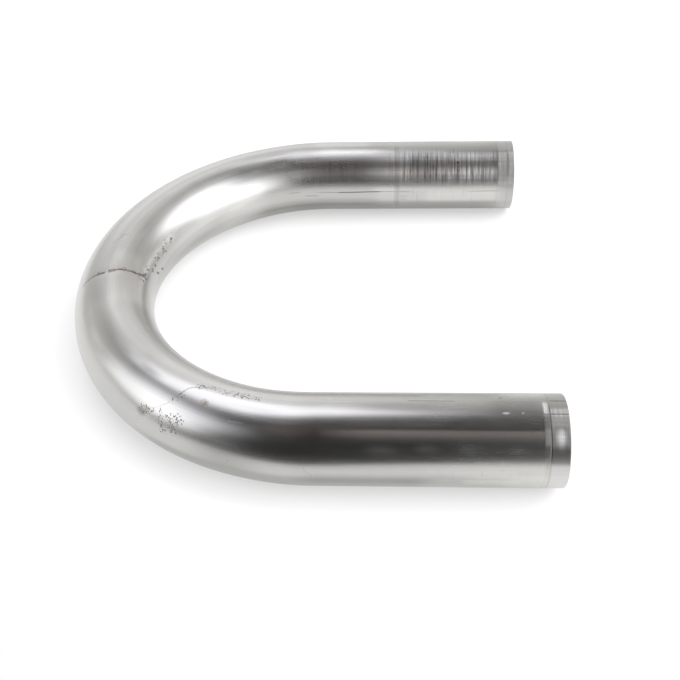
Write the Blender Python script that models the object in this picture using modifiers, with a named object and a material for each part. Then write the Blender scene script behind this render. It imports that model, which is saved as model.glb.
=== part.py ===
"""Return bend: one length of round steel tube, bent through a half turn, with a straight leg at each end.

It lies flat, as it comes to rest, with the plane of the bend level.
+X runs along the legs to their open ends, +Y runs across from the one leg to the other, and +Z is up.
The origin is on the surface that the tube lies on, under the middle of its bounding box.
"""

import math

import bmesh
import bpy
from mathutils import Vector

# Driving dimensions, in metres and degrees
OUTSIDE_DIAMETER = 0.0381      # 1 1/2 in tube
WALL = 0.00165                 # 16 gauge sheet
CENTRE_LINE_RADIUS = 0.1016    # 4 in, to the middle of the tube
LEG_LENGTH = 0.1016            # 4 in, from the end of the bend to the open end
BEND_ANGLE = 180.0
OVALITY = 0.03                 # share of the diameter that the bend loses across its own plane
OVAL_RUN = 0.030               # length along the tube over which it goes from round to oval
DEBURR = 0.00025               # chamfer on the edges of the open ends

# How finely the curved surfaces are divided
SIDES = 40                     # round the tube
BEND_STEPS = 36                # along the bend
LEG_STEPS = 3                  # along each leg

TUBE_RADIUS = OUTSIDE_DIAMETER / 2
BEND_REACH = CENTRE_LINE_RADIUS + TUBE_RADIUS * (1 - OVALITY)   # from the bend's centre to its outermost point
BEND_CENTRE = Vector(((BEND_REACH - LEG_LENGTH) / 2, 0.0, TUBE_RADIUS))
ARC_LENGTH = CENTRE_LINE_RADIUS * math.radians(BEND_ANGLE)


def centre_line():
    """Points along the middle of the tube, from the open end at -Y, round the bend, to the open end at +Y."""
    points = []
    for i in range(LEG_STEPS):
        run = LEG_LENGTH * (1 - i / LEG_STEPS)
        points.append(BEND_CENTRE + Vector((run, -CENTRE_LINE_RADIUS, 0)))
    for i in range(BEND_STEPS + 1):
        turn = math.radians(BEND_ANGLE) * i / BEND_STEPS
        across = Vector((-math.sin(turn), -math.cos(turn), 0))
        points.append(BEND_CENTRE + across * CENTRE_LINE_RADIUS)
    for i in range(LEG_STEPS):
        run = LEG_LENGTH * (i + 1) / LEG_STEPS
        points.append(BEND_CENTRE + Vector((run, CENTRE_LINE_RADIUS, 0)))
    return points


def ease(share):
    """0 to 1 with no kink at either end."""
    share = min(1.0, max(0.0, share))
    return share * share * (3 - 2 * share)


def flatten_bend(mesh):
    """Draws the tube in towards its centre line in the plane of the bend, as bending does. The legs stay round."""
    for vertex in mesh.vertices:
        offset = vertex.co - BEND_CENTRE
        if offset.x > -1e-7:
            continue
        turn = math.atan2(-offset.x, -offset.y)
        along = CENTRE_LINE_RADIUS * turn
        oval = OVALITY * ease(along / OVAL_RUN) * ease((ARC_LENGTH - along) / OVAL_RUN)
        distance = math.hypot(offset.x, offset.y)
        drawn = CENTRE_LINE_RADIUS + (distance - CENTRE_LINE_RADIUS) * (1 - oval)
        vertex.co.x = BEND_CENTRE.x + offset.x * drawn / distance
        vertex.co.y = BEND_CENTRE.y + offset.y * drawn / distance


def steel():
    material = bpy.data.materials.new("satin_steel")
    material.use_nodes = True
    shader = material.node_tree.nodes["Principled BSDF"]
    shader.inputs["Base Color"].default_value = (0.60, 0.59, 0.57, 1.0)
    shader.inputs["Metallic"].default_value = 1.0
    shader.inputs["Roughness"].default_value = 0.28
    material.diffuse_color = (0.60, 0.59, 0.57, 1.0)
    material.metallic = 1.0
    material.roughness = 0.28
    return material


def swept_skin():
    """The tube's outer surface as an open mesh, swept along the centre line."""
    curve = bpy.data.curves.new("centre_line", "CURVE")
    curve.dimensions = "3D"
    curve.twist_mode = "Z_UP"
    curve.fill_mode = "FULL"
    curve.bevel_mode = "ROUND"
    curve.bevel_depth = TUBE_RADIUS
    curve.bevel_resolution = (SIDES - 4) // 2
    curve.use_fill_caps = False
    spline = curve.splines.new("POLY")
    points = centre_line()
    spline.points.add(len(points) - 1)
    for point, place in zip(spline.points, points):
        point.co = (place.x, place.y, place.z, 1.0)
    guide = bpy.data.objects.new("centre_line", curve)
    bpy.context.scene.collection.objects.link(guide)
    bpy.context.view_layer.update()
    evaluated = guide.evaluated_get(bpy.context.evaluated_depsgraph_get())
    mesh = bpy.data.meshes.new_from_object(evaluated)
    bpy.data.objects.remove(guide)
    bpy.data.curves.remove(curve)
    return mesh


def bent_tube(collection):
    """The whole tube: the skin, given its wall inwards, with its open ends deburred."""
    mesh = swept_skin()
    mesh.name = "bent_tube"
    shape = bmesh.new()
    shape.from_mesh(mesh)
    bmesh.ops.remove_doubles(shape, verts=shape.verts, dist=1e-6)
    # the faces point away from the centre line
    shape.faces.ensure_lookup_table()
    sample = shape.faces[0]
    middle = sample.calc_center_median()
    nearest = min(centre_line(), key=lambda place: (place - middle).length)
    if sample.normal.dot(middle - nearest) < 0:
        bmesh.ops.reverse_faces(shape, faces=shape.faces)
    shape.to_mesh(mesh)
    shape.free()
    flatten_bend(mesh)
    mesh.materials.clear()
    mesh.materials.append(steel())

    tube = bpy.data.objects.new("bent_tube", mesh)
    collection.objects.link(tube)

    wall = tube.modifiers.new("wall", "SOLIDIFY")
    wall.thickness = WALL
    wall.offset = -1.0
    wall.use_even_offset = True
    wall.use_rim = True

    edge = tube.modifiers.new("deburred_ends", "BEVEL")
    edge.width = DEBURR
    edge.segments = 1
    edge.limit_method = "ANGLE"
    edge.angle_limit = math.radians(45)

    mesh.shade_smooth()
    mesh.set_sharp_from_angle(angle=math.radians(40))
    return tube


def main():
    for existing in list(bpy.data.objects):
        bpy.data.objects.remove(existing)
    collection = bpy.data.collections.new("return_bend")
    bpy.context.scene.collection.children.link(collection)
    bent_tube(collection)


main()
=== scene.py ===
"""Looks of the return bend: the surface of the bent tube with its marks, its steel, the studio and the camera.

Lengths here are in millimetres unless a name says otherwise, and turn into metres where a mesh or a light is made.
Every place on the tube is (s, w): s runs along the centre line from the near open end, and w round the tube.
"""

import math

import bpy
import numpy as np
from mathutils import Matrix, Vector


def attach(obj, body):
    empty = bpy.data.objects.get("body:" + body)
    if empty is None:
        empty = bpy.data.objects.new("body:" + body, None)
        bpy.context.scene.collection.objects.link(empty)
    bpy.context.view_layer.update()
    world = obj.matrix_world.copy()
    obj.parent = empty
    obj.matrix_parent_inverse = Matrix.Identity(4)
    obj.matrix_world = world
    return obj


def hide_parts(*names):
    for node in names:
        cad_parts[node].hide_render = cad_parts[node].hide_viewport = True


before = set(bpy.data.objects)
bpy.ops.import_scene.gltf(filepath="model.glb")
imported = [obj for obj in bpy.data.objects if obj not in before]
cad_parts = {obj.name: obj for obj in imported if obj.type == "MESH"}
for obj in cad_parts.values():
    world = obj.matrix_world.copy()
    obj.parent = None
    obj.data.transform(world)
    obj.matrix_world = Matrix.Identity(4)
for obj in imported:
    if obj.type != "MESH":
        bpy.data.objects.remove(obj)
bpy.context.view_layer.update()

# ---------------------------------------------------------------- the tube, as the frame has it
RADIUS = 19.05
WALL = 1.65
CLR = 101.6
LEG = 101.6
ARC = math.pi * CLR
LENGTH = 2 * LEG + ARC
OVALITY = 0.03
OVAL_RUN = 30.0
DEBURR = 0.25
BEND_X = (RADIUS * (1 - OVALITY)) / 2     # the bend's centre, from the middle of the box
SEAM = 300.0                               # where the surface's maps are cut, on the underside of the outer flank
MM = 0.001


def smooth(x):
    x = np.clip(x, 0.0, 1.0)
    return x * x * (3 - 2 * x)


def bell(x):
    """1 at 0, 0 past 1, with no kink."""
    return 1 - smooth(np.abs(x))


def angle_of(w):
    """The angle round the tube, in degrees from its outermost line over the top, of a place w mm round from 120 degrees."""
    return 120 + np.degrees(np.asarray(w, float) / RADIUS)


def around(phi):
    """The reverse, between -180 and 180 degrees from 120."""
    return np.radians((np.asarray(phi, float) - 120 + 180) % 360 - 180) * RADIUS


def skin(s, phi, inset):
    """Points of the tube's surface, moved in by inset towards the centre line."""
    s, phi, inset = np.broadcast_arrays(np.asarray(s, float), np.radians(phi), np.asarray(inset, float))
    turn = np.clip((s - LEG) / CLR, 0, math.pi)
    out = np.stack([-np.sin(turn), -np.cos(turn)], -1)
    along = np.stack([-np.cos(turn), np.sin(turn)], -1)
    run = np.minimum(s - LEG, 0) + np.maximum(s - LEG - ARC, 0)
    middle = out * CLR + along * run[..., None]
    arc = s - LEG
    oval = OVALITY * smooth(arc / OVAL_RUN) * smooth((ARC - arc) / OVAL_RUN)
    across = RADIUS * (1 - oval) - inset
    flat = middle + out * (np.cos(phi) * across)[..., None]
    return np.stack([flat[..., 0] + BEND_X, flat[..., 1], RADIUS + (RADIUS - inset) * np.sin(phi)], -1)


# ---------------------------------------------------------------- marks that have a shape of their own
CREASE = [(243.6, -25.5), (244.2, -22.5), (245.2, -19.3), (245.8, -15.9), (246.6, -12.4), (247.5, -9.0), (248.4, -5.8), (249.4, -2.5), (249.9, 0.5),
          (250.3, 3.6), (251.6, 6.4), (252.1, 9.4)]
SEAM_LINE = 19.0            # w of the fold along the far leg


def crease_line(w):
    c = np.array(CREASE)
    return np.interp(w, c[:, 1], c[:, 0])


def trace(s, w, points, wide):
    """1 on the line through points, each (s, w) or (s, w, strength), and 0 from wide mm off it."""
    best = np.zeros(np.broadcast(s, w).shape)
    for a, b in zip(points, points[1:]):
        ds, dw = b[0] - a[0], b[1] - a[1]
        t = np.clip(((s - a[0]) * ds + (w - a[1]) * dw) / (ds * ds + dw * dw), 0, 1)
        gap = np.hypot(s - a[0] - t * ds, w - a[1] - t * dw)
        here = (1 - t) * (*a, 1.0)[2] + t * (*b, 1.0)[2]
        best = np.maximum(best, here * (1 - smooth(gap / wide)))
    return best


def patch(x, lo, hi, edge):
    """1 between lo and hi, with soft edges."""
    return smooth((x - lo) / edge + 0.5) * smooth((hi - x) / edge + 0.5)


def blot(s, w, at, half):
    """A round or oval soft patch."""
    return 1 - smooth(np.hypot((s - at[0]) / half[0], (w - at[1]) / half[1]))


def hollow(s, w):
    """How far the surface is sunk, in mm."""
    d = np.zeros(np.broadcast(s, w).shape)
    far = LENGTH - s
    # rings rolled in near the ends
    d += 0.045 * bell((s - 7.5) / 0.4) + 0.03 * smooth((7.9 - s) / 0.8) + 0.012 * smooth((10.3 - s) / 0.8)
    d += 0.035 * bell((far - 3.3) / 0.45) + 0.02 * smooth((3.8 - far) / 0.8) + 0.015 * smooth((9.5 - far) / 0.9)
    # the clamp die has pressed the far leg's end a little smaller
    d += 0.02 * smooth((66.2 - far) / 1.2)
    # the wrinkle across the bend
    reach = (0.25 + 0.75 * smooth((w + 24) / 9)) * smooth((w + 27) / 5) * smooth((10.5 - w) / 4)
    across = s - crease_line(w)
    d += reach * (0.11 * bell(across / 0.9) + 0.05 * bell(across / 5.0))
    # the fold along the far leg
    strength = smooth((s - 412) / 12) * (0.3 + 0.7 * smooth((450 - s) / 12)) * smooth((516 - s) / 60)
    wander = SEAM_LINE + 0.25 * np.sin((s - 413) / 9.0)
    d += strength * (0.12 * bell((w - wander) / 0.55) + 0.05 * smooth((w - wander) / 0.6) * smooth((wander + 4.5 - w) / 4.0))
    # two small dents on top of the near leg
    for cs, cw, ls, lw, deep in ((24.4, -12.8, 2.2, 1.0, 0.06), (17.9, -12.8, 1.2, 0.8, 0.04)):
        d += deep * bell(np.hypot((s - cs) / ls, (w - cw) / lw))
    return d


# ---------------------------------------------------------------- mesh
def graded(start, end, step, fine):
    """Stations from start to end, step apart, and closer where fine asks: (place, half width, step)."""
    places = [start]
    while places[-1] < end:
        here = places[-1]
        size = step
        for place, half, small in fine:
            gap = max(0.0, abs(here - place) - half)
            size = min(size, small + 0.22 * gap)
        places.append(here + size)
    places = np.array(places)
    return start + (places - start) * (end - start) / (places[-1] - start)


def tube_mesh():
    far = LENGTH
    outer = graded(DEBURR, LENGTH - DEBURR, 2.3, [
        (4.0, 3.5, 0.6), (7.5, 0.6, 0.14), (10.0, 0.6, 0.3), (21.0, 4.5, 0.6), (145.0, 24.0, 1.15),
        (248.0, 5.5, 0.36), (275.0, 26.0, 1.15), (433.0, 22.0, 1.8),
        (far - 65.7, 0.9, 0.35), (485.0, 28.0, 1.25), (far - 9.1, 0.5, 0.25), (far - 3.3, 0.6, 0.14),
    ])
    inner = graded(DEBURR, LENGTH - DEBURR, 4.0, [])
    flank = graded(0.0, 360.0, 3.0, [
        ((float(angle_of(SEAM_LINE)) - SEAM) % 360, 2.0, 0.7), ((float(angle_of(-12.8)) - SEAM) % 360, 3.0, 1.3),
    ])[:-1]
    phi = SEAM + flank
    w = around(phi)
    w[0] = -60 * math.pi / 180 * RADIUS * 3     # the cut itself, taken at its lower end
    # one ring after another: out over the near end's edge, along the outside, over the far end's edge and back through the bore
    rings = [("outer", s, hollow(s, w)) for s in outer]
    rings += [("rim", LENGTH - 0.003, DEBURR + 0 * w), ("rim", LENGTH - 0.003, WALL - DEBURR + 0 * w)]
    rings += [("bore", s, WALL + 0 * w) for s in inner[::-1]]
    rings += [("rim", 0.003, WALL - DEBURR + 0 * w), ("rim", 0.003, DEBURR + 0 * w)]
    n, m = len(rings), len(phi)
    points = np.concatenate([skin(s, phi, np.maximum(inset, 0.004)) for _, s, inset in rings]) * MM
    i, j = np.meshgrid(np.arange(n), np.arange(m), indexing="ij")
    i1, j1 = (i + 1) % n, (j + 1) % m
    faces = np.stack([i * m + j, i1 * m + j, i1 * m + j1, i * m + j1], -1).reshape(-1, 4)
    mesh = bpy.data.meshes.new("return_bend_tube")
    mesh.from_pydata(points.tolist(), [], faces.tolist())
    mesh.update()
    first_face = mesh.polygons[0]
    if first_face.normal.dot(first_face.center - Vector((BEND_X + LEG, -CLR, RADIUS)) * MM) < 0:
        mesh.flip_normals()

    # the surface's own coordinates, in mm, with no cut: (radius cos, radius sin, s)
    turned = np.radians(phi - 120)
    stations = np.array([r[1] for r in rings])
    place = np.zeros((n, m, 3))
    place[..., 0] = RADIUS * np.cos(turned)
    place[..., 1] = RADIUS * np.sin(turned)
    place[..., 2] = stations[:, None]
    layer = mesh.attributes.new("skin_mm", "FLOAT_VECTOR", "POINT")
    layer.data.foreach_set("vector", place.astype(np.float32).ravel())
    layer = mesh.attributes.new("zones", "FLOAT_VECTOR", "POINT")
    layer.data.foreach_set("vector", zones(stations[:, None], w[None, :]).astype(np.float32).ravel())
    layer = mesh.attributes.new("wear_and_painted_light", "FLOAT_VECTOR", "POINT")
    layer.data.foreach_set("vector", wear_and_painted_light(stations[:, None], w[None, :]).astype(np.float32).ravel())

    # UV maps, corner by corner
    loops = np.zeros(len(mesh.loops), np.int64)
    mesh.loops.foreach_get("vertex_index", loops)
    of_face = np.repeat(np.arange(len(mesh.polygons)), 4)
    fi, fj = of_face // m, of_face % m
    li, lj = loops // m, loops % m
    turn = np.append(flank, 360.0)
    lj = np.where((fj == m - 1) & (lj == 0), m, lj)
    u = turn[lj] / 360
    length = stations[li] / LENGTH
    kind = np.array([{"outer": 0, "rim": 1, "bore": 2}[r[0]] for r in rings])
    nxt = (fi + 1) % n
    region = np.where((kind[fi] == 0) & (kind[nxt] == 0), 0, np.where((kind[fi] == 2) & (kind[nxt] == 2), 2, 1))
    # "skin": round the tube and along it, in metres, for the direction of the grain
    uv = mesh.uv_layers.new(name="skin")
    both = np.stack([u * 2 * math.pi * RADIUS * MM, length * LENGTH * MM], -1)
    uv.data.foreach_set("uv", both.astype(np.float32).ravel())
    # "OFBake": the outside in two long strips, the bore in a third, and the ends' narrow faces above
    cut = len(outer) // 2
    first = fi < cut
    x0 = np.where(first, outer[0], outer[cut])
    x1 = np.where(first, outer[cut], outer[-1])
    bake = np.zeros((len(loops), 2))
    at = stations[li]
    on = region == 0
    bake[on, 0] = (0.005 + 0.99 * (at - x0) / (x1 - x0))[on]
    bake[on, 1] = (np.where(first, 0.005, 0.459) + 0.449 * u)[on]
    on = region == 2
    bake[on, 0] = (0.005 + 0.99 * (at - inner[0]) / (inner[-1] - inner[0]))[on]
    bake[on, 1] = (0.914 + 0.055 * u)[on]
    on = region == 1
    # four narrow faces at each open end
    near = stations[fi] < LENGTH / 2
    step = np.where(near, fi - (n - 3), fi - (len(outer) - 1))     # 0, 1, 2 over the edge
    next_ring = (li != fi)
    bake[on, 0] = (np.where(near, 0.005, 0.505) + 0.49 * u)[on]
    bake[on, 1] = (0.974 + 0.008 * (np.clip(step, 0, 2) + next_ring))[on]
    uv = mesh.uv_layers.new(name="OFBake")
    uv.data.foreach_set("uv", bake.astype(np.float32).ravel())
    # each stretch of the outside has its own material, and the bore and the cut ends another
    middle = stations[np.arange(len(mesh.polygons)) // m]
    which = np.zeros(len(mesh.polygons), np.int32)
    for k, (_, start, end) in enumerate(STRETCHES):
        which[(middle >= start) & (middle < end)] = k
    which[region[::4] != 0] = len(STRETCHES)
    mesh.polygons.foreach_set("material_index", which)
    mesh.uv_layers["skin"].active = True
    mesh.uv_layers["skin"].active_render = True
    mesh.shade_smooth()
    mesh.set_sharp_from_angle(angle=math.radians(35))
    return mesh


# ---------------------------------------------------------------- node helper
class Graph:
    """Builds shader nodes. Numbers and sockets may be mixed."""

    def __init__(self, tree):
        self.tree = tree
        tree.nodes.clear()

    def node(self, kind, **settings):
        n = self.tree.nodes.new(kind)
        for k, v in settings.items():
            setattr(n, k, v)
        return n

    def put(self, socket, value):
        if isinstance(value, bpy.types.NodeSocket):
            self.tree.links.new(value, socket)
        elif value is not None:
            socket.default_value = value

    def math(self, op, a, b=None, c=None, clamp=False):
        n = self.node("ShaderNodeMath", operation=op, use_clamp=clamp)
        for socket, v in zip(n.inputs, (a, b, c)):
            self.put(socket, v)
        return n.outputs[0]

    def add(self, a, *more):
        for b in more:
            a = self.math("ADD", a, b)
        return a

    def mul(self, a, *more):
        for b in more:
            a = self.math("MULTIPLY", a, b)
        return a

    def sub(self, a, b):
        return self.math("SUBTRACT", a, b)

    def most(self, a, *more):
        for b in more:
            a = self.math("MAXIMUM", a, b)
        return a

    def clamp(self, a):
        return self.math("ADD", a, 0.0, clamp=True)

    def ramp(self, v, a, b, lo=0.0, hi=1.0, kind="SMOOTHSTEP"):
        n = self.node("ShaderNodeMapRange", interpolation_type=kind)
        for name, x in zip(("Value", "From Min", "From Max", "To Min", "To Max"), (v, a, b, lo, hi)):
            self.put(n.inputs[name], x)
        return n.outputs["Result"]

    def window(self, v, lo, hi, edge):
        """1 between lo and hi, with soft edges."""
        return self.mul(self.ramp(v, lo - edge, lo + edge), self.ramp(v, hi - edge, hi + edge, 1.0, 0.0))

    def vector(self, x, y, z):
        n = self.node("ShaderNodeCombineXYZ")
        for socket, v in zip(n.inputs, (x, y, z)):
            self.put(socket, v)
        return n.outputs[0]

    def split(self, v):
        n = self.node("ShaderNodeSeparateXYZ")
        self.put(n.inputs[0], v)
        return n.outputs

    def vmath(self, op, a, b=None, scale=None):
        n = self.node("ShaderNodeVectorMath", operation=op)
        self.put(n.inputs[0], a)
        if b is not None:
            self.put(n.inputs[1], b)
        if scale is not None:
            self.put(n.inputs["Scale"], scale)
        return n.outputs["Value"] if op in ("LENGTH", "DISTANCE", "DOT_PRODUCT") else n.outputs["Vector"]

    def noise(self, at, size, detail=2.0, rough=0.5, stretch=(1, 1, 1), shift=(0, 0, 0), distort=0.0):
        """0..1 noise whose features are about size mm, longer along any axis whose stretch is over 1."""
        at = self.vmath("MULTIPLY_ADD", at, tuple(1.0 / (size * k) for k in stretch))
        self.put(at.node.inputs[2], tuple(float(k) for k in shift))
        n = self.node("ShaderNodeTexNoise", noise_dimensions="3D")
        self.put(n.inputs["Vector"], at)
        for name, v in (("Scale", 1.0), ("Detail", detail), ("Roughness", rough), ("Distortion", distort)):
            n.inputs[name].default_value = v
        return n.outputs["Fac"]

    def cells(self, at, size, stretch=(1, 1, 1), randomness=1.0):
        """Distance to the nearest of a scatter of points about size mm apart, in units of size, and each point's random colour."""
        at = self.vmath("MULTIPLY", at, tuple(1.0 / (size * k) for k in stretch))
        n = self.node("ShaderNodeTexVoronoi", voronoi_dimensions="3D", feature="F1")
        self.put(n.inputs["Vector"], at)
        n.inputs["Scale"].default_value = 1.0
        n.inputs["Randomness"].default_value = randomness
        return n.outputs["Distance"], n.outputs["Color"]

    def curve(self, v, points, lo, hi):
        """A value that follows points (x, y), x between lo and hi and y between 0 and 1."""
        n = self.node("ShaderNodeFloatCurve")
        c = n.mapping.curves[0]
        while len(c.points) > 2:
            c.points.remove(c.points[-1])
        xs = [((x - lo) / (hi - lo), y) for x, y in points]
        c.points[0].location = xs[0]
        c.points[1].location = xs[-1]
        for x, y in xs[1:-1]:
            c.points.new(x, y)
        n.mapping.update()
        self.put(n.inputs["Value"], self.ramp(v, lo, hi, kind="LINEAR"))
        return n.outputs[0]

    def mix(self, factor, a, b, kind="RGBA"):
        n = self.node("ShaderNodeMix", data_type=kind)
        self.put(n.inputs[0], factor)
        ins = {"RGBA": (6, 7), "FLOAT": (2, 3)}[kind]
        for k, v in zip(ins, (a, b)):
            if kind == "RGBA" and isinstance(v, (tuple, list)) and len(v) == 3:
                v = (*v, 1.0)
            self.put(n.inputs[k], v)
        return n.outputs[{"RGBA": 2, "FLOAT": 0}[kind]]

    def line(self, flat, a, b, width, strength=1.0):
        """A straight mark from a to b, both (s, w), on the vector flat = (s, w, 0). 1 in its middle."""
        ax, ay = a
        dx, dy = b[0] - ax, b[1] - ay
        size2 = dx * dx + dy * dy
        rel = self.vmath("SUBTRACT", flat, (ax, ay, 0.0))
        t = self.vmath("DOT_PRODUCT", rel, (dx / size2, dy / size2, 0.0))
        t = self.clamp(t)
        gap = self.vmath("DISTANCE", rel, self.vmath("SCALE", (dx, dy, 0.0), scale=t))
        return self.ramp(gap, width * 0.3, width * 0.8, strength, 0.0)

    def path(self, flat, points, width, strength=1.0):
        out = None
        for a, b in zip(points, points[1:]):
            here = self.line(flat, a, b, width, strength)
            out = here if out is None else self.most(out, here)
        return out

    def spot(self, flat, at, size, strength=1.0, edge=0.5):
        """A round mark, or an oval one if size is a pair."""
        sx, sy = size if isinstance(size, tuple) else (size, size)
        rel = self.vmath("MULTIPLY", self.vmath("SUBTRACT", flat, (at[0], at[1], 0.0)), (1 / sx, 1 / sy, 0.0))
        return self.ramp(self.vmath("LENGTH", rel), 1 - edge, 1.0, strength, 0.0)


# ---------------------------------------------------------------- steel
# Lengths of tube with a material of their own, because each has marks of its own: (name, from s, to s)
STRETCHES = [("near_leg", -1.0, 96.0), ("near_bend", 96.0, 200.0), ("far_bend", 200.0, 308.0), ("far_leg", 308.0, 600.0)]


def zones(s, w):
    """Three masks at (s, w): how strongly lines are pressed across the surface, how dull it is, and how much darker it
    is drawn in its rings near the ends and along the clamp die's edge.
    """
    s, w = np.broadcast_arrays(s, w)
    far = LENGTH - s
    comb = np.maximum.reduce([
        smooth((s - 444) / 26) * smooth((515 - s) / 5) * smooth((w + 9) / 6) * smooth((16.0 - w) / 2.0),
        0.4 * patch(far, -5, 9.0, 1.0) * patch(w, -6, 15, 2), 0.45 * patch(s, 452, 512, 8) * patch(w, 15, 26, 3), 0.35 * patch(s, 400, 440, 16) * patch(w, 1, 14, 3),
        patch(s, -5, 9.8, 0.6) * (0.25 * patch(w, -31, -2, 4) + 0.6 * patch(w, -14.5, -5.5, 1.5)),
        0.95 * patch(s, 14, 50, 6) * patch(w, -40.5, -37.0, 2.5),
    ])
    dull = np.maximum.reduce([
        0.5 * patch(s, -5, 7.4, 0.5) * (1 - 0.7 * patch(w, -33.5, -25.5, 3.0)), 0.25 * smooth((10.0 - s) / 1.0),
        0.75 * smooth((3.7 - far) / 0.6), 0.5 * smooth((9.6 - far) / 0.9), 0.22 * smooth((66.0 - far) / 0.8),
    ])
    # drawn darker in the ring grooves near the ends and along the clamp die's edge
    ring_darkening = np.maximum.reduce([
        0.85 * bell((s - 7.5) / 0.6) * patch(w, -33, -8.5, 5.0), 0.3 * bell((s - 7.5) / 0.42),
        0.55 * bell((far - 3.6) / 1.0) * patch(w, -4.0, 10.5, 5.0), 0.2 * bell((far - 3.6) / 0.5), 0.1 * bell((far - 9.1) / 0.5),
        0.2 * patch(s, 456.4, 459.0, 1.4) * patch(w, -9, 30, 3.0),
    ])
    return np.stack([comb, dull, ring_darkening], -1)


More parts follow.
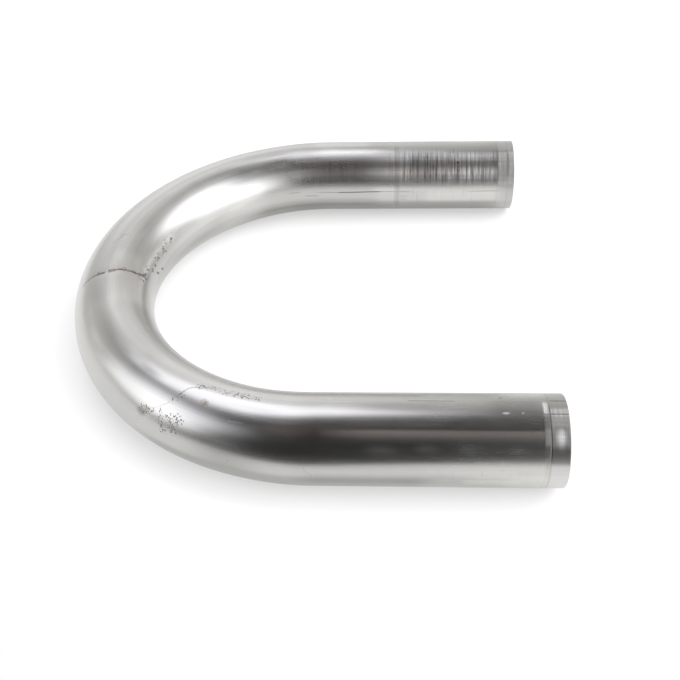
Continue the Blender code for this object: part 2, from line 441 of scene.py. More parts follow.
def wear_and_painted_light(s, w):
    """Three more at (s, w): how closely rust specks lie, how scuffed the surface is, with painted glints among the
    scuffs, and painted light and shade: how much lighter or darker the steel's colour is made where its reflections
    should be brighter or darker.
    """
    s, w = np.broadcast_arrays(s, w)
    far = LENGTH - s
    rust = np.maximum.reduce([
        # the wrinkle and the specks that start from its inner end
        0.9 * trace(s, w, [(243.6, -25.5, 0.0), (244.2, -22.5, 0.3), (245.2, -19.3, 0.45), (246.6, -12.4, 0.6), (247.6, -9.0, 1.0), (249.4, -2.5, 1.0),
                           (249.9, 0.5, 0.9), (250.3, 3.6, 0.95), (251.6, 6.4, 0.95), (252.1, 9.4, 1.0)], 1.8),
        trace(s, w, [(247.3, -9.6, 0.7), (248.3, -6.4, 1.0), (248.7, -4.9, 0.55), (249.2, -3.6, 1.0), (249.6, -1.4, 0.9), (249.8, 0.2, 1.0), (250.0, 2.4, 0.95), (251.0, 4.8, 0.95), (252.4, 7.6, 0.95)], 2.6),
        1.0 * blot(s, w, (253.6, 8.6), (3.6, 3.2)), 0.8 * blot(s, w, (254.4, 10.8), (2.2, 2.0)),
        0.52 * blot(s, w, (255.2, 8.8), (6.0, 4.4)), 0.5 * blot(s, w, (261.0, 10.0), (4.4, 4.0)), 0.4 * blot(s, w, (248.6, 7.4), (2.4, 2.2)),
        trace(s, w, [(262.0, 12.0, 0.4), (268.0, 12.3, 0.36), (272.5, 12.4, 0.42), (276.6, 12.3, 0.56), (280.4, 12.2, 0.62), (285.2, 12.7, 0.64), (289.4, 11.8, 0.5), (293.7, 11.4, 0.46), (299.5, 11.0, 0.3)], 2.9),
        # specks on the near part of the bend
        trace(s, w, [(154.9, -20.0, 0.5), (153.8, -18.3, 0.6), (151.9, -15.4, 0.45)], 1.7),
        trace(s, w, [(148.6, -9.8, 0.45), (145.2, -8.9, 0.55), (141.5, -8.0, 0.58), (139.0, -9.0, 0.5), (134.0, -8.5, 0.36), (131.0, -7.8, 0.42), (127.6, -8.0, 0.58), (125.2, -8.0, 0.3), (122.6, -8.1, 0.58)], 2.3),
        trace(s, w, [(157.4, -26.3, 0.52), (156.2, -29.4, 0.6), (154.9, -34.3, 0.58)], 1.9),
        trace(s, w, [(153.8, -27.0, 0.5), (152.4, -30.0, 0.62), (150.6, -32.4, 0.66)], 2.3),
        trace(s, w, [(150.8, -25.9, 0.52), (150.0, -28.6, 0.66), (150.8, -31.8, 0.6)], 2.0),
        trace(s, w, [(149.6, -25.0, 0.46), (147.6, -27.3, 0.42)], 1.4),
        trace(s, w, [(160.9, -27.0, 0.45), (159.5, -29.0, 0.3), (156.6, -30.2, 0.4)], 1.5),
        0.4 * blot(s, w, (165.7, -30.7), (2.6, 2.3)),
        trace(s, w, [(163.9, -28.6, 0.6), (161.6, -28.2, 0.55)], 2.2), 0.4 * blot(s, w, (166.2, -28.2), (2.4, 1.8)),
        0.3 * blot(s, w, (128.9, -37.4), (1.2, 0.9)), 0.28 * blot(s, w, (147.9, -40.6), (1.4, 1.0)),
    ])
    band = patch(s, -5, 7.4, 0.5)
    beside = patch(s, 7.6, 9.8, 1.0)
    # on the far clamp the row round w -2.5 to 0.5 is lightened into painted glints, in place of highlights on the clamp
    # marks; the rows below it are scuffed steel
    lengths = np.interp(s, [385, 400, 420, 437, 447, 452, 462, 470, 480, 490, 500, 508, 513], [0, 0.42, 0.3, 0.3, 0.62, 0.8, 0.85, 0.5, 0.66, 0.9, 0.95, 0.75, 0.7])
    rows = np.interp(w, [-9, -5, -2.5, 0.5, 2, 4, 6, 8, 10, 12, 14, 16], [0, 0.07, 0.4, 0.32, 0.17, 0.11, 0.32, 0.52, 0.44, 0.2, 0.14, 0])
    scuff_and_glint = np.maximum.reduce([
        band * 0.26 * patch(w, -14.8, -10.5, 1.6), band * 0.2 * patch(w, -19.5, -13.5, 1.5), band * 0.6 * blot(s, w, (3.7, -22.9), (4.2, 6.2)), band * 0.3 * patch(s, 2.0, 5.4, 1.8) * patch(w, -25.0, -21.0, 4.0),
        band * 0.17 * patch(w, -27, -19, 2.0), band * 0.01 * patch(w, -33, -26, 2.0), band * 0.45 * patch(w, -60, -34, 1.5),
        beside * 0.45 * patch(w, -13.6, -7.2, 1.6), beside * 0.08 * patch(w, -21, -13, 2.0), beside * 0.2 * patch(w, -26, -19, 3.0),
        smooth((s - 385) / 14) * smooth((514.5 - s) / 3) * lengths * rows,
        0.3 * patch(far, -5, 9.0, 1.2) * patch(w, -4, 15.5, 1.5), 0.12 * patch(far, -5, 9.0, 1.2),
        0.055 * blot(s, w, (73, -28.2), (9, 3.2)), 0.055 * blot(s, w, (55, -27.8), (7, 3.0)), 0.05 * blot(s, w, (38.4, -27.8), (8, 3.2)), 0.04 * blot(s, w, (20.0, -28.4), (6, 3.0)),
        0.08 * blot(s, w, (392, 1.6), (16, 4.0)), 0.03 * blot(s, w, (130, -30), (12, 4.0)),
    ])
    # painted light and shade: soft patches that lighten the steel's colour where it should mirror more light, as on the
    # near bend, and darken it where it should mirror less, as on the lower flanks
    painted_light_and_shade = (
        -0.24 * patch(s, 55, 165, 14) * patch(w, -51, -41.5, 3) + 0.22 * smooth((32 - s) / 20) * patch(w, -60, -40, 4)
        + 0.1 * patch(s, 18, 41, 1.2) * patch(w, -46.5, -42.6, 1.0) - 0.22 * patch(s, 9.8, 30, 10) * patch(w, -13.5, -5.5, 4) + 0.1 * smooth((70 - s) / 50) * patch(w, -40, -34.5, 2)
        - 0.28 * smooth((64 - s) / 30) * patch(w, 1.5, 12, 3) + 0.2 * smooth((s - 9) / 3) * smooth((98 - s) / 20) * bell((w + 18) / 3.4) + 0.13 * bell((s - 90) / 20) * patch(w, -15, -8, 3)
        + 0.18 * bell((s - 224) / 38) * patch(w, -13, 3, 8) + 0.08 * bell((s - 235) / 60) * patch(w, -45, -20, 8)
        + 0.38 * bell((s - 133) / 19) * patch(w, -33.5, -27, 3) + 0.33 * bell((s - 114) / 19) * patch(w, -27, -18.5, 5)
        + 0.18 * patch(s, 100, 128, 14) * patch(w, -18.5, -14.5, 2) + 0.09 * patch(s, 104, 175, 14) * patch(w, -12, -3, 3)
        + 0.14 * bell((s - 160) / 20) * patch(w, -23, -18, 2.5) - 0.15 * bell((s - 177) / 15) * patch(w, -17, -12.5, 2.5)
        - 0.24 * bell((s - 131) / 20) * patch(w, -42, -33, 3) + 0.22 * bell((s - 155) / 26) * patch(w, -30, -21, 4)
        - 0.27 * patch(s, 368, 514, 26) * patch(w, 26.5, 42, 4) + 0.14 * patch(s, 300, 372, 24) * patch(w, 15, 23, 4)
        + 0.24 * patch(s, 445, 514, 8) * patch(w, 15.5, 25.5, 3) + 0.1 * patch(s, 455, 510, 10) * patch(w, -18, -8, 4)
        + 0.3 * patch(s, 396, 447, 14) * patch(w, -6.8, -1.0, 2.5) - 0.12 * blot(s, w, (249, 8), (10, 9))
        + 0.31 * patch(s, 256, 392, 34) * bell((w + 4.3) / 5.5) + 0.14 * bell((s - 412) / 20) * bell((w + 0.5) / 4) + 0.36 * bell((s - 382) / 20) * bell((w - 0.8) / 4.5) - 0.15 * bell((s - 410) / 16) * bell((w + 6) / 3.5)
        - 0.12 * patch(s, 180, 222, 16) * patch(w, 4.5, 13, 3) + 0.1 * bell((s - 208) / 22) * patch(w, -26, -19.5, 3) - 0.1 * patch(s, 395, 455, 18) * patch(w, 28.5, 42, 4) + 0.2 * patch(s, 259, 298, 8) * bell((w - 11.5) / 4.0)
        - 0.19 * patch(s, 96, 222, 16) * patch(w, 0.5, 9, 3) - 0.17 * patch(s, 128, 182, 14) * patch(w, 6, 18, 3) - 0.08 * patch(s, 168, 205, 12) * patch(w, 6, 18, 3)
        + 0.15 * patch(s, 182, 228, 10) * patch(w, -21, -7.5, 3) - 0.28 * bell((s - 171) / 9) * bell((w + 14) / 2.6) - 0.2 * bell((s - 188) / 8) * bell((w + 14) / 2.2)
        + 0.12 * bell((s - 196) / 12) * bell((w + 26) / 3) + 0.18 * bell((s - 207) / 12) * bell((w + 22) / 3) + 0.18 * patch(s, 224, 264, 10) * patch(w, -9, 5, 3)
        + 0.17 * patch(s, 258, 372, 12) * patch(w, -9, -4, 2) + 0.1 * patch(s, 320, 366, 12) * patch(w, -9, -4, 2) - 0.13 * bell((s - 290) / 10) * bell((w + 2) / 2.2)
        + 0.13 * patch(s, 322, 420, 10) * bell((w + 1.6) / 2.4) + 0.2 * patch(s, 342, 402, 16) * bell((w + 1.6) / 2.4) + 0.25 * bell((s - 374) / 10) * bell((w - 2) / 2)
        + 0.35 * bell((s - 390) / 9) * bell((w - 1.6) / 2.2) + 0.25 * bell((s - 408) / 12) * bell((w - 2) / 2.4) + 0.22 * bell((s - 390) / 12) * patch(w, 4, 15, 3)
        - 0.14 * patch(s, 380, 432, 10) * bell((w + 6) / 1.8) - 0.13 * patch(s, 255, 342, 16) * patch(w, 19, 30, 3) - 0.06 * patch(s, 274, 330, 12) * patch(w, 24, 30, 2)
        - 0.15 * patch(s, 372, 445, 14) * patch(w, 23.5, 29.5, 2) + 0.13 * bell((s - 354) / 12) * bell((w - 18) / 2.5) - 0.15 * patch(s, 208, 244, 10) * patch(w, 7.5, 13.5, 2)
        + 0.35 * bell((s - 130) / 10) * bell((w + 30) / 2.5) + 0.3 * bell((s - 109) / 9) * bell((w + 22.5) / 3) + 0.16 * bell((s - 108) / 12) * bell((w + 14) / 2.5)
        + 0.22 * bell((s - 130) / 10) * bell((w + 26) / 2)
        - 0.14 * patch(s, 38, 104, 14) * patch(w, -46, -39.5, 2) - 0.2 * patch(s, 36, 84, 12) * bell((w + 32.3) / 2.2) - 0.2 * patch(s, -3, 7.2, 0.8) * patch(w, -34, -22, 3)
        + 0.18 * patch(s, 24, 56, 8) * bell((w + 2.2) / 2.2) - 0.15 * patch(s, 14, 68, 8) * bell((w - 1.4) / 2.2)
        - 0.22 * bell((s - 402) / 14) * bell((w + 4.5) / 2) + 0.42 * bell((s - 426) / 22) * bell((w + 0.3) / 2.4) - 0.24 * patch(s, 486, 516, 8) * bell((w + 4) / 2.5)
        + 0.15 * patch(s, 412, 442, 8) * patch(w, -20, -9, 3) + 0.2 * patch(s, 488, 530, 10) * patch(w, -20, -13.5, 2)
        + 0.26 * bell((s - 398) / 12) * patch(w, 2.5, 15, 3) - 0.13 * patch(s, 444, 474, 6) * patch(w, 18.5, 26.5, 2)
    )
    # on the legs the first mask is brown instead: along the near one a painted reflection, the brown streak the steel
    # mirrors from a warm band in front, and between the clamp lines of the far one a brown film
    film_and_painted_reflection = np.maximum.reduce([
        smooth((s - 9.1) / 1.2) * smooth((106 - s) / 34) * np.interp(w, [-26.5, -24.6, -23.2, -21.6, -20.8, -20.0], [0, 0.03, 0.10, 0.165, 0.16, 0]),
        0.15 * patch(s, 455, 480, 7) * patch(w, 5.2, 11.0, 2.0), 0.08 * patch(s, 478, 494, 6) * patch(w, 5.2, 11.0, 2.0),
    ])
    return np.stack([np.where((s < 96) | (s > 308), film_and_painted_reflection, rust), scuff_and_glint, painted_light_and_shade], -1)


def steel_material(stretch):
    mat = bpy.data.materials.new("satin_steel_" + stretch)
    mat.use_nodes = True
    g = Graph(mat.node_tree)
    place = g.node("ShaderNodeAttribute", attribute_type="GEOMETRY", attribute_name="skin_mm").outputs["Vector"]
    x, y, s = g.split(place)

    # grain of the drawn tube: fine lines along it
    hair = g.noise(place, 0.32, 2.0, 0.6, stretch=(1, 1, 110))
    streak = g.noise(place, 1.0, 3.0, 0.6, stretch=(1, 1, 160), shift=(7, 3, 1))
    cloud = g.noise(place, 14.0, 3.0, 0.55, stretch=(1, 1, 2.2), shift=(3, 1, 9))
    coarse = 1.35 if stretch.endswith("bend") else 1.0
    height = g.add(g.mul(hair, 0.0030 * coarse), g.mul(streak, 0.0056 * coarse))

    if stretch == "bore":
        base = g.mix(g.ramp(cloud, 0.3, 0.7), (0.40, 0.39, 0.375), (0.50, 0.49, 0.47))
        base = g.mix(g.ramp(streak, 0.35, 0.7, 0.0, 0.25), base, (0.24, 0.23, 0.22))
        rough = g.ramp(cloud, 0.3, 0.7, 0.5, 0.6)
    else:
        w = g.mul(g.math("ARCTAN2", y, x), RADIUS)
        flat = g.vector(s, w, 0.0)
        zone = g.split(g.node("ShaderNodeAttribute", attribute_type="GEOMETRY", attribute_name="zones").outputs["Vector"])
        worn_and_lit = g.split(g.node("ShaderNodeAttribute", attribute_type="GEOMETRY", attribute_name="wear_and_painted_light").outputs["Vector"])
        scuff_and_glint = g.mul(worn_and_lit[1], g.ramp(streak, 0.35, 0.65, 0.9, 1.1))
        rust = dark = thin = light = stain_and_painted_reflection = None

        def lines(marks):
            out = None
            for p, q, width, strength in marks:
                one = g.line(flat, p, q, width, strength)
                out = one if out is None else g.most(out, one)
            return out

        if stretch == "near_leg":
            thin = lines([
                ((0.0, -13.2), (10.0, -13.2), 0.36, 0.85), ((0.0, -5.9), (6.5, -5.9), 0.42, 0.9), ((26.7, -0.4), (109.5, -0.3), 0.4, 0.3), ((44.0, -6.5), (62.0, -6.4), 0.45, 0.4),
                ((25.2, -3.8), (26.2, -3.8), 0.7, 0.5), ((50.1, -6.3), (59.8, -6.3), 0.3, 0.35), ((47.0, -7.6), (55.0, -7.4), 0.3, 0.2),
            ])
            dark = g.spot(flat, (25.7, -36.5), 0.4, 0.25)
            # a film too thin to see but where the steel mirrors something dark
            scuff_and_glint = g.add(scuff_and_glint, g.mul(g.ramp(streak, 0.38, 0.66), 0.010), g.mul(g.ramp(hair, 0.36, 0.7), 0.008), g.mul(g.ramp(cloud, 0.4, 0.65), 0.006))
            # two painted glints: light spots on the two dents stand in for the highlights they catch
            scuff_and_glint = g.most(scuff_and_glint, g.spot(flat, (24.4, -12.9), (2.1, 0.85), 0.42, edge=0.9), g.spot(flat, (17.8, -12.8), (0.8, 0.6), 0.3, edge=0.9))
        if stretch == "near_bend":
            light = lines([
                ((130.6, -20.9), (125.4, -20.6), 0.4, 0.24), ((103.3, -36.3), (99.9, -42.0), 0.4, 0.35), ((167.6, -34.3), (164.2, -32.3), 0.4, 0.4), ((167.8, -35.6), (164.0, -33.4), 0.4, 0.4),
            ])
            thin = g.path(flat, [(153.4, -17.0), (151.4, -12.6), (149.8, -11.3), (147.4, -10.4)], 0.5, 0.45)
            thin = g.most(thin, g.path(flat, [(162.0, -26.9), (159.9, -26.0), (155.2, -21.3)], 0.42, 0.16))
            dark = g.spot(flat, (165.9, -30.8), (2.9, 2.5), 0.38, edge=0.6)
            uneven = g.ramp(g.noise(place, 1.1, 3.0, 0.7, shift=(2, 2, 6)), 0.36, 0.58, 0.1, 1.0)
            stain_and_painted_reflection = g.mul(g.most(g.spot(flat, (142.1, -16.2), (2.5, 2.2), 0.9, edge=0.9), g.spot(flat, (163.4, -28.8), (2.6, 1.8), 0.6, edge=0.8)), uneven)
        if stretch == "far_bend":
            dark = lines([((267.2, 16.4), (269.0, 17.8), 1.15, 0.95), ((274.5, 18.3), (276.1, 19.5), 1.05, 0.9)])
            # painted shade: a dark line along the bottom of the wrinkle
            c = CREASE
            bottom = g.add(g.mul(g.curve(w, [(cw, (cs - 240) / 20) for cs, cw in c], c[0][1], c[-1][1]), 20.0), 240.0)
            off = g.math("ABSOLUTE", g.sub(s, bottom))
            ragged = g.noise(place, 0.9, 3.0, 0.7, shift=(9, 9, 2))
            dark = g.most(dark, g.mul(g.ramp(off, 0.25, 1.1, 0.42, 0.0), g.window(w, -24.5, 8.5, 2.5), g.ramp(ragged, 0.3, 0.55, 0.6, 1.0)))
            light = lines([((275.9, -10.8), (278.9, -8.8), 0.7, 0.5), ((273.5, -9.4), (276.0, -6.6), 0.7, 0.4), ((270.9, -13.3), (272.5, -10.6), 0.7, 0.35),
                           ((222.7, -10.4), (234.8, -9.6), 0.5, 0.18)])
            thin = lines([((276.3, -10.6), (278.0, -7.8), 0.5, 0.26), ((269.8, -12.4), (271.6, -11.1), 0.45, 0.22), ((272.8, -11.2), (275.4, -9.2), 0.5, 0.24)])
        if stretch == "far_leg":
            dark = g.most(g.spot(flat, (491.3, 2.65), 0.75, 0.8), g.spot(flat, (485.7, 7.2), 0.45, 0.4))
            fold = g.add(SEAM_LINE, g.mul(g.math("SINE", g.mul(g.sub(s, 413.0), 1 / 9.0)), 0.25))
            fold_gap = g.math("ABSOLUTE", g.sub(w, fold))
            fold_on = g.most(g.window(s, 424.5, 449, 2.5), g.mul(g.window(s, 412, 465, 4.0), 0.4), g.mul(g.window(s, 498, 514, 4.0), 0.4))
            dark = g.most(dark, g.mul(g.ramp(fold_gap, 0.15, 0.5, 0.8, 0.0), fold_on))
            thin = lines([((391.8, 18.1), (399.3, 18.1), 0.45, 0.4), ((403.3, 20.9), (411.6, 21.3), 0.45, 0.4), ((459.5, 21.8), (464.0, 21.9), 0.35, 0.35), ((459.5, 24.1), (463.0, 24.1), 0.35, 0.3),
                          ((466.5, 17.0), (467.3, 21.3), 0.4, 0.12), ((478.2, 20.2), (478.9, 17.4), 0.4, 0.1)])
        if stretch in ("near_leg", "far_leg"):
            # lines pressed or scraped across the leg, close together, some of them strong
            long = 55
            comb = g.noise(place, 0.5, 2.0, 0.8, stretch=(long, long, 1), shift=(2, 8, 0))
            bold = g.noise(place, 0.8, 2.0, 0.7, stretch=(long / 3, long / 3, 1), shift=(1, 7, 3))
            comb_on = g.mul(zone[0], g.ramp(g.noise(place, 6.0, 2.0, 0.6, stretch=(1, 1, 1.5), shift=(4, 4, 4)), 0.3, 0.62, 0.65, 1.0))
            height = g.add(height, g.mul(g.sub(comb, 0.5), comb_on, 0.035 if stretch == "far_leg" else 0.016))
            lined = g.add(comb, g.mul(g.sub(bold, 0.5), 0.35))
            scuff_and_glint = g.mul(scuff_and_glint, g.mix(comb_on, 1.0, g.ramp(lined, 0.36, 0.64, 1.6, 0.2), "FLOAT"))
            # on the legs: a painted reflection along the near one, a brown film on the far one
            stain_and_painted_reflection = g.mul(worn_and_lit[0], g.mix(comb_on, 1.0, g.ramp(lined, 0.36, 0.64, 1.5, 0.3), "FLOAT"))
            pressed = g.mul(g.ramp(lined, 0.56, 0.74, 0.0, 0.5 if stretch == "far_leg" else 0.3), comb_on)
            dark = g.most(dark, pressed)
        else:
            # single specks where they lie loosely, and a ragged crust where they run together
            nearer = stretch == "near_bend"
            ragged = g.noise(place, 0.8 if nearer else 1.3, 3.0, 0.7, shift=(9, 9, 2))
            thick = g.sub(0.95, g.mul(worn_and_lit[0], 0.62))
            crust = g.ramp(ragged, thick, g.add(thick, 0.08))
            if nearer:
                gap, luck = g.cells(place, 0.88)
            else:
                gap, luck = g.cells(g.vector(g.add(g.mul(s, 0.8), g.mul(w, 0.6)), g.sub(g.mul(w, 0.8), g.mul(s, 0.6)), 0.0), 1.4, stretch=(1.75, 1.0, 1.0))
            kept = g.ramp(g.split(luck)[0], g.sub(g.mul(worn_and_lit[0], 2.2), 0.05), g.mul(worn_and_lit[0], 2.2), 1.0, 0.0)
            dots = g.mul(g.ramp(gap, 0.27, 0.52, 1.0, 0.0), kept, g.ramp(g.split(luck)[1], 0.0, 0.7, 0.55, 1.0))
            rust = g.mul(g.most(crust, dots), g.ramp(worn_and_lit[0], 0.03, 0.15))
            halo = g.mul(worn_and_lit[0], 0.16)

        dark = zone[2] if dark is None else g.most(dark, zone[2])
        if thin is not None:
            dark = g.most(dark, thin)
            height = g.sub(height, g.mul(thin, 0.01))
        if light is not None:
            height = g.sub(height, g.mul(light, 0.006))
        if rust is not None:
            height = g.sub(height, g.mul(rust, 0.012))

        # colour
        base = g.mix(g.ramp(cloud, 0.3, 0.7), (0.492, 0.488, 0.470), (0.520, 0.515, 0.496))
        # painted light and shade: the colour made lighter or darker, patch by patch
        base = g.vmath("SCALE", base, scale=g.add(1.0, worn_and_lit[2]))
        base = g.mix(g.ramp(streak, 0.3, 0.6, 0.05, 0.0), base, (0.30, 0.29, 0.28))
        base = g.mix(g.ramp(hair, 0.3, 0.7, 0.10, 0.0), base, (0.30, 0.29, 0.28))
        base = g.mix(g.mul(zone[1], 0.12), base, (0.38, 0.37, 0.35))
        # lighter grey where scuffed, and for the painted glints
        base = g.mix(scuff_and_glint, base, (0.74, 0.735, 0.735))
        if stain_and_painted_reflection is not None:
            # brown on the legs: a painted reflection along the near leg, a film on the far one; on the bends a stain
            base = g.mix(stain_and_painted_reflection, base, (0.44, 0.25, 0.165) if "leg" in stretch else (0.17, 0.125, 0.09))
        base = g.mix(dark, base, (0.10, 0.095, 0.095))
        # roughness
        rough = g.add(0.228, g.ramp(cloud, 0.25, 0.75, 0.0, 0.03), g.ramp(hair, 0.3, 0.7, 0.0, 0.02))
        rough = g.mix(zone[1], rough, 0.44, "FLOAT")
        rough = g.mix(scuff_and_glint, rough, 0.5, "FLOAT")
        if light is not None:
            rough = g.mix(light, rough, 0.5, "FLOAT")
        if "leg" in stretch:
            metal = g.sub(1.0, g.mul(g.clamp(g.most(scuff_and_glint, stain_and_painted_reflection)), 0.85))
        else:
            metal = 1.0 if stain_and_painted_reflection is None else g.sub(1.0, g.mul(stain_and_painted_reflection, 0.5))
        if rust is not None:
            base = g.mix(halo, base, (0.38, 0.34, 0.32))
            tint = g.mix(g.ramp(g.noise(place, 3.0, 2.0, 0.5, shift=(1, 5, 5)), 0.4, 0.6), (0.085, 0.062, 0.052), (0.055, 0.05, 0.047))
            if not nearer:
                # redder in the wrinkle than in the specks beyond its inner end
                tint = g.mix(g.mul(g.window(w, -9.5, 5.5, 2.0), g.ramp(g.noise(place, 2.2, 2.0, 0.5, shift=(4, 0, 3)), 0.38, 0.55)), tint, (0.17, 0.115, 0.095))
            base = g.mix(g.mul(rust, 0.88), base, tint)
            rough = g.mix(rust, rough, 0.65, "FLOAT")
            metal = g.mul(g.sub(1.0, g.mul(rust, 0.5)), metal)

    bump = g.node("ShaderNodeBump")
    bump.inputs["Strength"].default_value = 1.0
    bump.inputs["Distance"].default_value = MM
    g.put(bump.inputs["Height"], height)
    shader = g.node("ShaderNodeBsdfPrincipled")
    g.put(shader.inputs["Base Color"], base)
    g.put(shader.inputs["Roughness"], rough)
    g.put(shader.inputs["Normal"], bump.outputs["Normal"])
    if stretch == "bore":
        shader.inputs["Metallic"].default_value = 0.7
    else:
        g.put(shader.inputs["Metallic"], metal)
        shader.inputs["Anisotropic"].default_value = 0.65
        grain = g.node("ShaderNodeTangent", direction_type="UV_MAP", uv_map="skin")
        g.put(shader.inputs["Tangent"], grain.outputs["Tangent"])
    out = g.node("ShaderNodeOutputMaterial")
    g.put(out.inputs["Surface"], shader.outputs[0])
    mat.diffuse_color = (0.56, 0.55, 0.54, 1.0)
    return mat


def make_tube():
    mesh = tube_mesh()
    tube = bpy.data.objects.new("bent_tube_surface", mesh)
    bpy.context.scene.collection.objects.link(tube)
    for name, _, _ in STRETCHES:
        mesh.materials.append(steel_material(name))
    mesh.materials.append(steel_material("bore"))
    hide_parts("bent_tube")
    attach(tube, "root")
    return tube


# ---------------------------------------------------------------- studio
def unit(azimuth, elevation):
    a, e = math.radians(azimuth), math.radians(elevation)
    return Vector((math.sin(a) * math.cos(e), math.cos(a) * math.cos(e), math.sin(e)))


# azimuth from +Y towards +X, elevation, half width, half height, roll, brightness, edge, colour
COOL = (0.985, 0.985, 1.06)
SOFT_BOXES = [
    (-105.6, 31.0, 0.389, 0.433, -82.7, 1.51, 0.057, COOL),
    (-31.4, 60.7, 0.282, 0.257, -1.6, 2.24, 0.016, COOL),
    (80.8, 37.3, 0.277, 0.414, -27.1, 2.54, 0.065, COOL),
    (116.1, 14.5, 0.505, 0.413, 23.3, 2.31, 0.088, COOL),
    (-15.5, 19.3, 0.269, 0.283, -49.8, 0.79, 0.069, COOL),
]
BACKDROP = (1.0, 0.998, 0.97)
ROOM = (1.0, 0.99, 0.97)
WARM = (1.0, 0.62, 0.48)


def studio():
    world = bpy.data.worlds.new("studio")
    bpy.context.scene.world = world
    world.use_nodes = True
    g = Graph(world.node_tree)
    way = g.node("ShaderNodeTexCoord").outputs["Generated"]
    x, y, z = g.split(way)
    flat = g.math("SQRT", g.add(g.mul(x, x), g.mul(y, y)))
    flat = g.most(flat, 1e-4)
    ca, sa = g.math("DIVIDE", y, flat), g.math("DIVIDE", x, flat)
    el = g.math("DEGREES", g.math("ARCSINE", z))

    def logistic(v):
        return g.math("DIVIDE", 1.0, g.add(1.0, g.math("EXPONENT", g.math("MINIMUM", g.mul(v, -1.0), 30.0))))

    def tinted(value, colour):
        return g.vmath("SCALE", colour, scale=value)

    # the pale backdrop, from the horizon up, behind and to the sides but not in front, where the room is dark
    top = g.add(48.8, g.mul(ca, 5.3), g.mul(sa, 16.6))
    # angle from the azimuth 15 degrees
    c0, s0 = math.cos(math.radians(15.0)), math.sin(math.radians(15.0))
    turn = g.math("DEGREES", g.math("ARCCOSINE", g.math("MINIMUM", g.math("MAXIMUM", g.add(g.mul(ca, c0), g.mul(sa, s0)), -1.0), 1.0)))
    fall = g.sub(1.0, g.mul(el, 0.24 / 60))
    back = g.mul(logistic(g.mul(g.sub(top, el), 1 / 5.0)), logistic(g.mul(g.sub(139.8, turn), 1 / 4.8)), fall, g.math("GREATER_THAN", el, 0.0), 0.757)
    light = g.vmath("ADD", tinted(back, BACKDROP), tuple(0.035 * k for k in ROOM))
    # a faint warm band high up in front
    band = g.mul(logistic(g.mul(g.sub(el, 58.0), 1 / 1.2)), logistic(g.mul(g.sub(75.0, el), 1 / 1.2)), logistic(g.mul(g.sub(turn, 150.0), 1 / 4.0)), 0.07)
    light = g.vmath("ADD", light, tinted(band, WARM))
    for az, e, hw, hh, roll, power, edge, colour in SOFT_BOXES:
        n = unit(az, e)
        u = n.cross(Vector((0, 0, 1))).normalized()
        v = u.cross(n)
        cr, sr = math.cos(math.radians(roll)), math.sin(math.radians(roll))
        u, v = cr * u + sr * v, -sr * u + cr * v
        c = g.vmath("DOT_PRODUCT", way, tuple(n))
        safe = g.most(c, 1e-3)
        a = g.math("ABSOLUTE", g.math("DIVIDE", g.vmath("DOT_PRODUCT", way, tuple(u)), safe))
        b = g.math("ABSOLUTE", g.math("DIVIDE", g.vmath("DOT_PRODUCT", way, tuple(v)), safe))
        one = g.mul(logistic(g.mul(g.sub(hw, a), 1 / edge)), logistic(g.mul(g.sub(hh, b), 1 / edge)), g.math("GREATER_THAN", c, 0.02), power)
        light = g.vmath("ADD", light, tinted(one, colour))
    up = g.node("ShaderNodeBackground")
    g.put(up.inputs["Color"], light)
    up.inputs["Strength"].default_value = 1.0
    plain = g.node("ShaderNodeBackground")
    plain.inputs["Color"].default_value = (1.0, 1.0, 1.0, 1.0)
    plain.inputs["Strength"].default_value = 1.0
    seen = g.node("ShaderNodeLightPath").outputs["Is Camera Ray"]
    mix = g.node("ShaderNodeMixShader")
    g.put(mix.inputs[0], seen)
    g.put(mix.inputs[1], up.outputs[0])
    g.put(mix.inputs[2], plain.outputs[0])
    out = g.node("ShaderNodeOutputWorld")
    g.put(out.inputs["Surface"], mix.outputs[0])

    # a large soft light overhead, for the floor: the steel doesn't mirror it
    lamp = bpy.data.lights.new("overhead", "AREA")
    lamp.shape = "DISK"
    lamp.size = 5.034
    lamp.energy = 138.0
    o = bpy.data.objects.new("overhead", lamp)
    o.location = (1.5, -0.9, 3.0)
    o.visible_glossy = False
    o.visible_camera = False
    bpy.context.scene.collection.objects.link(o)


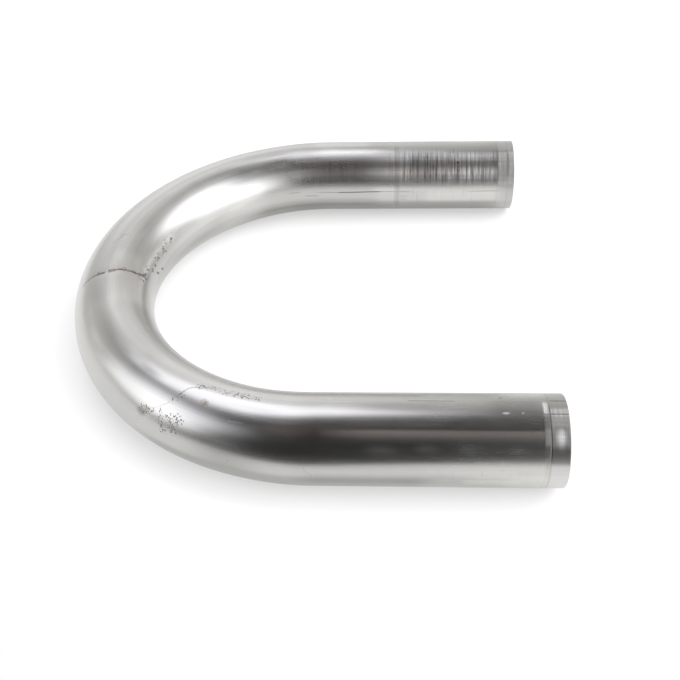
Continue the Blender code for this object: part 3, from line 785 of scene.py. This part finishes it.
def floor():
    """A pale table top, which ends a little in front of the tube, and not square to it."""
    mesh = bpy.data.meshes.new("floor")
    size = 3.0
    edge = [(-size, -0.186), (0.015, -0.186), (0.14, -0.31), (0.3, -0.33), (size, -0.33), (size, size), (-size, size)]
    mesh.from_pydata([(x, y, 0) for x, y in edge], [], [tuple(range(len(edge)))])
    plane = bpy.data.objects.new("floor", mesh)
    bpy.context.scene.collection.objects.link(plane)
    mat = bpy.data.materials.new("pale_floor")
    mat.use_nodes = True
    g = Graph(mat.node_tree)
    matt = g.node("ShaderNodeBsdfDiffuse")
    matt.inputs["Color"].default_value = (0.455, 0.455, 0.45, 1.0)
    # lit from below as well, like the top of a light table
    glow = g.node("ShaderNodeEmission")
    glow.inputs["Color"].default_value = (1.0, 1.0, 0.995, 1.0)
    glow.inputs["Strength"].default_value = 0.467
    both = g.node("ShaderNodeAddShader")
    g.put(both.inputs[0], matt.outputs[0])
    g.put(both.inputs[1], glow.outputs[0])
    out = g.node("ShaderNodeOutputMaterial")
    g.put(out.inputs["Surface"], both.outputs[0])
    mesh.materials.append(mat)


def camera():
    """Looks down on the tube from in front of the near leg, as the photograph does."""
    unit_m = RADIUS * MM
    yaw, pitch, roll = -0.0656, 0.7274, 0.0407
    ahead = Vector((math.sin(yaw) * math.cos(pitch), math.cos(yaw) * math.cos(pitch), -math.sin(pitch)))
    right = Vector((math.cos(yaw), -math.sin(yaw), 0.0))
    down = ahead.cross(right)
    r2 = math.cos(roll) * right + math.sin(roll) * down
    d2 = -math.sin(roll) * right + math.cos(roll) * down
    cam = bpy.data.cameras.new("camera")
    cam.sensor_width = 36.0
    cam.sensor_fit = "HORIZONTAL"
    cam.lens = 892.07 / 680 * 36
    cam.clip_start = 0.01
    cam.clip_end = 50
    cam.dof.use_dof = False
    o = bpy.data.objects.new("camera", cam)
    place = Vector((1.5631, -18.1630, 15.2784)) * unit_m + Vector((BEND_X * MM, 0, 0))
    turn = Matrix((r2, -d2, -ahead)).transposed()
    o.matrix_world = Matrix.Translation(place) @ turn.to_4x4()
    bpy.context.scene.collection.objects.link(o)
    bpy.context.scene.camera = o


camera()
studio()
floor()
make_tube()
view = bpy.context.scene.view_settings
view.view_transform = "Standard"
view.look = "None"
